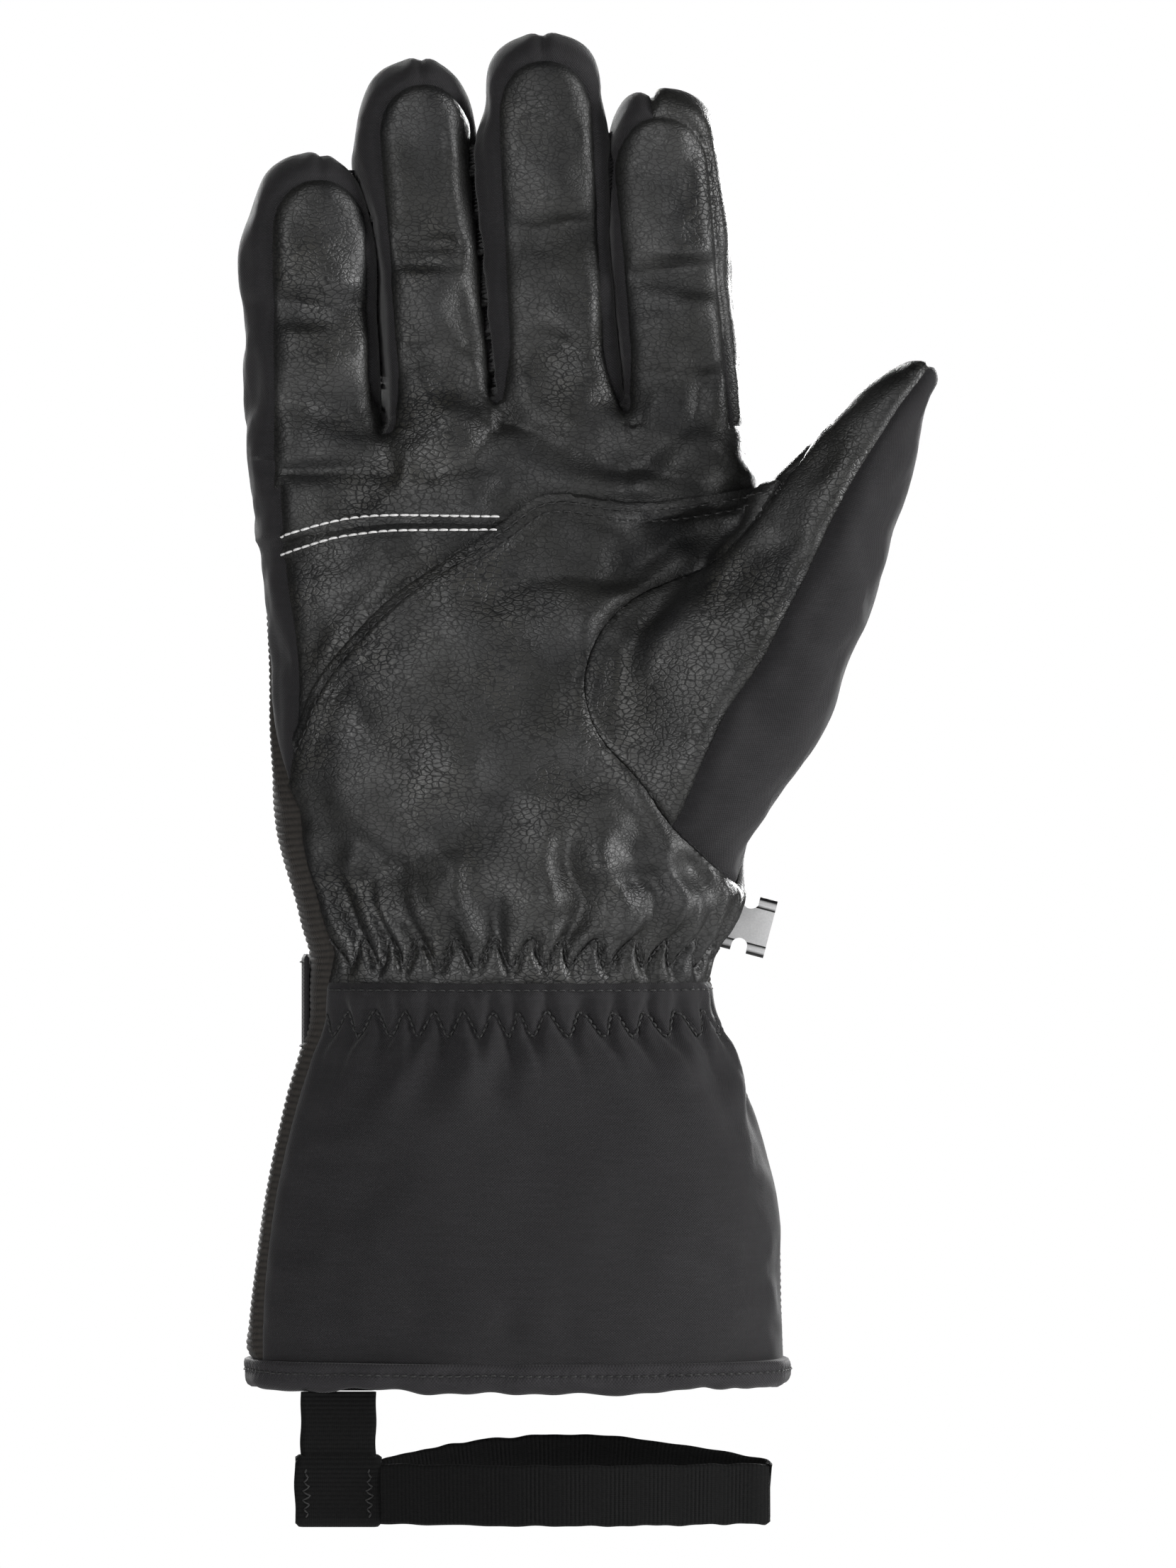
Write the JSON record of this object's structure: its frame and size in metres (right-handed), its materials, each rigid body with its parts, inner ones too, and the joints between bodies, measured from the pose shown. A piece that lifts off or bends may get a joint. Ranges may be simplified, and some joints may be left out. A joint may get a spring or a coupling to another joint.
{
  "type": "ski glove",
  "caption": "Right-hand gauntlet ski glove with leather palm, elastic wrist, wrist strap, pairing clip and wrist leash.",
  "frame": {"origin": "centre of the cuff opening, in the plane of the hem's lower edge", "axes": "+Z from the cuff towards the fingertips, -Y is the palm side, +X is the thumb side"},
  "size_m": [0.1702, 0.067, 0.3614],
  "materials": {
    "palm_leather": "grained charcoal synthetic leather",
    "shell_fabric": "fine black plain weave",
    "ribbed_fabric": "brown-black fabric with fine cross ribs",
    "insulation": "white synthetic wadding",
    "membrane": "thin translucent waterproof film",
    "lining": "brushed fleece lining",
    "binding": "black bias binding",
    "elastic": "braided elastic in its channel",
    "strap": "black laminated strap",
    "hook_and_loop": "black hook and loop tape",
    "webbing": "black woven tape",
    "clip_plastic": "satin light grey moulded plastic"
  },
  "bodies": {
    "cuff": {"cuff_front_panel": "shell_fabric", "wrist_gather": "palm_leather", "cuff_back_panel": "ribbed_fabric", "hem_binding": "binding", "cuff_lining": "lining", "wrist_elastic_upper": "elastic", "wrist_elastic_lower": "elastic", "strap_root": "strap", "strap_loop_patch": "hook_and_loop", "clip_loop": "webbing", "leash_tab": "webbing"},
    "hand": {"palm_heel": "palm_leather", "palm_side": "palm_leather", "palm_upper": "palm_leather", "back_panel": "ribbed_fabric", "little_side_gusset": "shell_fabric", "index_side_gusset": "shell_fabric", "finger_gussets": "shell_fabric", "hand_insulation": "insulation", "hand_membrane": "membrane", "hand_lining": "lining", "thumb_base_leather": "palm_leather", "thumb_base_fabric": "shell_fabric", "thumb_base_liner": "insulation"},
    "little_base": {"little_base_leather": "palm_leather", "little_base_fabric": "shell_fabric", "little_base_liner": "insulation"},
    "little_tip": {"little_tip_leather": "palm_leather", "little_tip_fabric": "shell_fabric", "little_tip_liner": "insulation"},
    "ring_base": {"ring_base_leather": "palm_leather", "ring_base_fabric": "shell_fabric", "ring_base_liner": "insulation"},
    "ring_tip": {"ring_tip_leather": "palm_leather", "ring_tip_fabric": "shell_fabric", "ring_tip_liner": "insulation"},
    "middle_base": {"middle_base_leather": "palm_leather", "middle_base_fabric": "shell_fabric", "middle_base_liner": "insulation"},
    "middle_tip": {"middle_tip_leather": "palm_leather", "middle_tip_fabric": "shell_fabric", "middle_tip_liner": "insulation"},
    "index_base": {"index_base_leather": "palm_leather", "index_base_fabric": "shell_fabric", "index_base_liner": "insulation"},
    "index_tip": {"index_tip_leather": "palm_leather", "index_tip_fabric": "shell_fabric", "index_tip_liner": "insulation"},
    "thumb_tip": {"thumb_tip_leather": "palm_leather", "thumb_tip_fabric": "shell_fabric", "thumb_tip_liner": "insulation"},
    "wrist_strap": {"wrist_strap": "strap", "strap_hook_patch": "hook_and_loop"},
    "clip": {"clip": "clip_plastic"},
    "leash": {"leash_stem": "webbing", "leash_wrap": "webbing", "leash_loop_ends": "webbing"},
    "leash_loop": {"leash_loop": "webbing"}
  },
  "joints": [
    {"name": "wrist_flex", "type": "hinge", "parent": "cuff", "child": "hand", "pos_m": [0, 0, 0.124], "axis": [1, 0, 0], "range_deg": [-25, 25], "stiffness_Nm_per_rad": 1.5},
    {"name": "little_knuckle", "type": "hinge", "parent": "hand", "child": "little_base", "pos_m": [-0.04887, -0.003, 0.2395], "axis": [0.9971, 0, 0.0767], "range_deg": [0, 60], "stiffness_Nm_per_rad": 0.15},
    {"name": "little_middle_joint", "type": "hinge", "parent": "little_base", "child": "little_tip", "pos_m": [-0.05045, -0.00407, 0.26], "axis": [0.9971, 0, 0.0767], "range_deg": [0, 60], "stiffness_Nm_per_rad": 0.08},
    {"name": "ring_knuckle", "type": "hinge", "parent": "hand", "child": "ring_base", "pos_m": [-0.01887, -0.003, 0.249], "axis": [0.9924, 0, 0.1232], "range_deg": [0, 60], "stiffness_Nm_per_rad": 0.15},
    {"name": "ring_middle_joint", "type": "hinge", "parent": "ring_base", "child": "ring_tip", "pos_m": [-0.02222, -0.00441, 0.276], "axis": [0.9924, 0, 0.1232], "range_deg": [0, 60], "stiffness_Nm_per_rad": 0.08},
    {"name": "middle_knuckle", "type": "hinge", "parent": "hand", "child": "middle_base", "pos_m": [0.00999, -0.003, 0.2495], "axis": [0.9964, 0, 0.0847], "range_deg": [0, 60], "stiffness_Nm_per_rad": 0.15},
    {"name": "middle_middle_joint", "type": "hinge", "parent": "middle_base", "child": "middle_tip", "pos_m": [0.00757, -0.00449, 0.278], "axis": [0.9964, 0, 0.0847], "range_deg": [0, 60], "stiffness_Nm_per_rad": 0.08},
    {"name": "index_knuckle", "type": "hinge", "parent": "hand", "child": "index_base", "pos_m": [0.04003, -0.003, 0.246], "axis": [0.9956, 0, 0.0941], "range_deg": [0, 60], "stiffness_Nm_per_rad": 0.15},
    {"name": "index_middle_joint", "type": "hinge", "parent": "index_base", "child": "index_tip", "pos_m": [0.038, -0.00413, 0.2675], "axis": [0.9956, 0, 0.0941], "range_deg": [0, 60], "stiffness_Nm_per_rad": 0.08},
    {"name": "thumb_joint", "type": "hinge", "parent": "hand", "child": "thumb_tip", "pos_m": [0.0807, -0.017, 0.217], "axis": [-0.0462, -0.9962, -0.0739], "range_deg": [0, 45], "stiffness_Nm_per_rad": 0.08},
    {"name": "strap_peel", "type": "hinge", "parent": "cuff", "child": "wrist_strap", "pos_m": [-0.043, 0.0253, 0.09175], "axis": [0, 0, 1], "range_deg": [0, 110], "stiffness_Nm_per_rad": 0.01},
    {"name": "clip_swing", "type": "hinge", "parent": "cuff", "child": "clip", "pos_m": [0.04748, 0.0215, 0.1139], "axis": [0.2554, 0, 0.9668], "range_deg": [-60, 60], "stiffness_Nm_per_rad": 0.002},
    {"name": "leash_swing", "type": "hinge", "parent": "cuff", "child": "leash", "pos_m": [-0.043, -0.02, -0.0014], "axis": [-1, 0, 0], "range_deg": [-10, 60], "stiffness_Nm_per_rad": 0.004},
    {"name": "leash_loop_swing", "type": "hinge", "parent": "leash", "child": "leash_loop", "pos_m": [-0.0308, -0.02, -0.0272], "axis": [0, 0, 1], "range_deg": [-60, 60], "stiffness_Nm_per_rad": 0.002}
  ]
}
